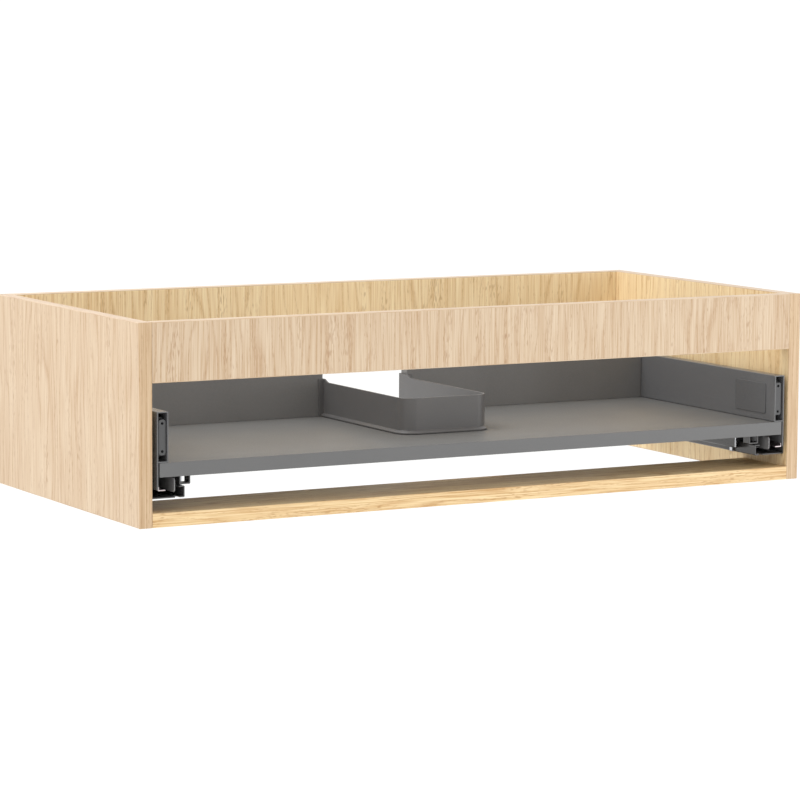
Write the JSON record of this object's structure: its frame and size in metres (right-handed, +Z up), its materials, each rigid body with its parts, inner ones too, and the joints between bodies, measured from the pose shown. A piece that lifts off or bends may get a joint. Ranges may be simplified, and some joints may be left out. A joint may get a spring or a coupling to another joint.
{
  "type": "washbasin cabinet with drawer",
  "caption": "Open-topped wall-hung washbasin cabinet in oak-effect board, with a metal-sided full-extension drawer and trap cut-out, front panel off.",
  "frame": {"origin": "middle of the carcass's footprint, at the bottom edge of the side panels", "axes": "+X to the right seen from the front, +Y to the wall, +Z up; the drawer opens along -Y"},
  "size_m": [1, 0.457, 0.257],
  "materials": {
    "oak_board": "light oak effect laminate, matt",
    "beech": "turned and fluted, unfinished",
    "grey_board": "dark grey melamine faced board, matt",
    "grey_steel": "anthracite powder coat, fine texture",
    "runner_steel": "dark grey coated steel, satin",
    "zinc_steel": "bright zinc plated",
    "grey_plastic": "anthracite moulded, fine texture",
    "black_plastic": "black moulded",
    "spring_steel": "bright drawn wire"
  },
  "bodies": {
    "cabinet": {"side_panel_left": "oak_board", "side_panel_right": "oak_board", "apron": "oak_board", "back_rail": "oak_board", "bottom_rail": "oak_board", "dowel_apron_1_left": "beech", "dowel_apron_1_right": "beech", "dowel_apron_2_left": "beech", "dowel_apron_2_right": "beech", "dowel_back_rail_1_left": "beech", "dowel_back_rail_1_right": "beech", "dowel_back_rail_2_left": "beech", "dowel_back_rail_2_right": "beech", "dowel_bottom_rail_1_left": "beech", "dowel_bottom_rail_1_right": "beech", "dowel_bottom_rail_2_left": "beech", "dowel_bottom_rail_2_right": "beech", "cabinet_rail_left": "runner_steel", "cabinet_rail_right": "runner_steel", "rail_screw_1_left": "zinc_steel", "rail_screw_1_right": "zinc_steel", "rail_screw_2_left": "zinc_steel", "rail_screw_2_right": "zinc_steel", "closer_tray_left": "black_plastic", "closer_tray_right": "black_plastic", "closer_spring_left": "spring_steel", "closer_spring_right": "spring_steel", "damper_cylinder_left": "zinc_steel", "damper_cylinder_right": "zinc_steel"},
    "drawer": {"drawer_bottom": "grey_board", "drawer_back_left": "grey_board", "drawer_back_right": "grey_board", "trap_surround": "grey_plastic", "drawer_side_left": "grey_steel", "drawer_side_right": "grey_steel", "side_foot_left": "zinc_steel", "side_foot_right": "zinc_steel", "front_bracket_left": "grey_plastic", "front_bracket_right": "grey_plastic", "cover_cap_left": "grey_plastic", "cover_cap_right": "grey_plastic", "rear_bracket_left": "grey_steel", "rear_bracket_right": "grey_steel", "drawer_rail_left": "runner_steel", "drawer_rail_right": "runner_steel", "release_spring_left": "spring_steel", "release_spring_right": "spring_steel"},
    "middle_rail_left": {"middle_rail_left": "runner_steel"},
    "lower_cage_left": {"lower_cage_left": "black_plastic"},
    "upper_cage_left": {"upper_cage_left": "black_plastic"},
    "release_lever_left": {"release_lever_left": "black_plastic"},
    "closer_catch_left": {"closer_catch_left": "black_plastic", "damper_rod_left": "spring_steel"},
    "middle_rail_right": {"middle_rail_right": "runner_steel"},
    "lower_cage_right": {"lower_cage_right": "black_plastic"},
    "upper_cage_right": {"upper_cage_right": "black_plastic"},
    "release_lever_right": {"release_lever_right": "black_plastic"},
    "closer_catch_right": {"closer_catch_right": "black_plastic", "damper_rod_right": "spring_steel"}
  },
  "joints": [
    {"name": "drawer_slide", "type": "slide", "parent": "cabinet", "child": "drawer", "axis": [0, -1, 0], "range_m": [0, 0.33]},
    {"name": "middle_rail_left_slide", "type": "slide", "parent": "cabinet", "child": "middle_rail_left", "axis": [0, -1, 0], "range_m": [0, 0.165]},
    {"name": "middle_rail_right_slide", "type": "slide", "parent": "cabinet", "child": "middle_rail_right", "axis": [0, -1, 0], "range_m": [0, 0.165]},
    {"name": "lower_cage_left_slide", "type": "slide", "parent": "cabinet", "child": "lower_cage_left", "axis": [0, -1, 0], "range_m": [0, 0.0825]},
    {"name": "lower_cage_right_slide", "type": "slide", "parent": "cabinet", "child": "lower_cage_right", "axis": [0, -1, 0], "range_m": [0, 0.0825]},
    {"name": "upper_cage_left_slide", "type": "slide", "parent": "cabinet", "child": "upper_cage_left", "axis": [0, -1, 0], "range_m": [0, 0.2475]},
    {"name": "upper_cage_right_slide", "type": "slide", "parent": "cabinet", "child": "upper_cage_right", "axis": [0, -1, 0], "range_m": [0, 0.2475]},
    {"name": "release_lever_left_pivot", "type": "hinge", "parent": "drawer", "child": "release_lever_left", "pos_m": [-0.432, -0.185, 0.05775], "axis": [-1, 0, 0], "range_deg": [0, 12], "stiffness_Nm_per_rad": 0.02, "deforming": ["release_spring_left"]},
    {"name": "closer_catch_left_slide", "type": "slide", "parent": "cabinet", "child": "closer_catch_left", "axis": [0, -1, 0], "range_m": [0, 0.038], "stiffness_N_per_m": 60, "deforming": ["closer_spring_left"]},
    {"name": "release_lever_right_pivot", "type": "hinge", "parent": "drawer", "child": "release_lever_right", "pos_m": [0.432, -0.185, 0.05775], "axis": [-1, 0, 0], "range_deg": [0, 12], "stiffness_Nm_per_rad": 0.02, "deforming": ["release_spring_right"]},
    {"name": "closer_catch_right_slide", "type": "slide", "parent": "cabinet", "child": "closer_catch_right", "axis": [0, -1, 0], "range_m": [0, 0.038], "stiffness_N_per_m": 60, "deforming": ["closer_spring_right"]}
  ],
  "couplings": [
    {"joint": "middle_rail_left_slide", "follows": "drawer_slide", "ratio": 0.5},
    {"joint": "middle_rail_right_slide", "follows": "drawer_slide", "ratio": 0.5},
    {"joint": "lower_cage_left_slide", "follows": "drawer_slide", "ratio": 0.25},
    {"joint": "lower_cage_right_slide", "follows": "drawer_slide", "ratio": 0.25},
    {"joint": "upper_cage_left_slide", "follows": "drawer_slide", "ratio": 0.75},
    {"joint": "upper_cage_right_slide", "follows": "drawer_slide", "ratio": 0.75}
  ]
}
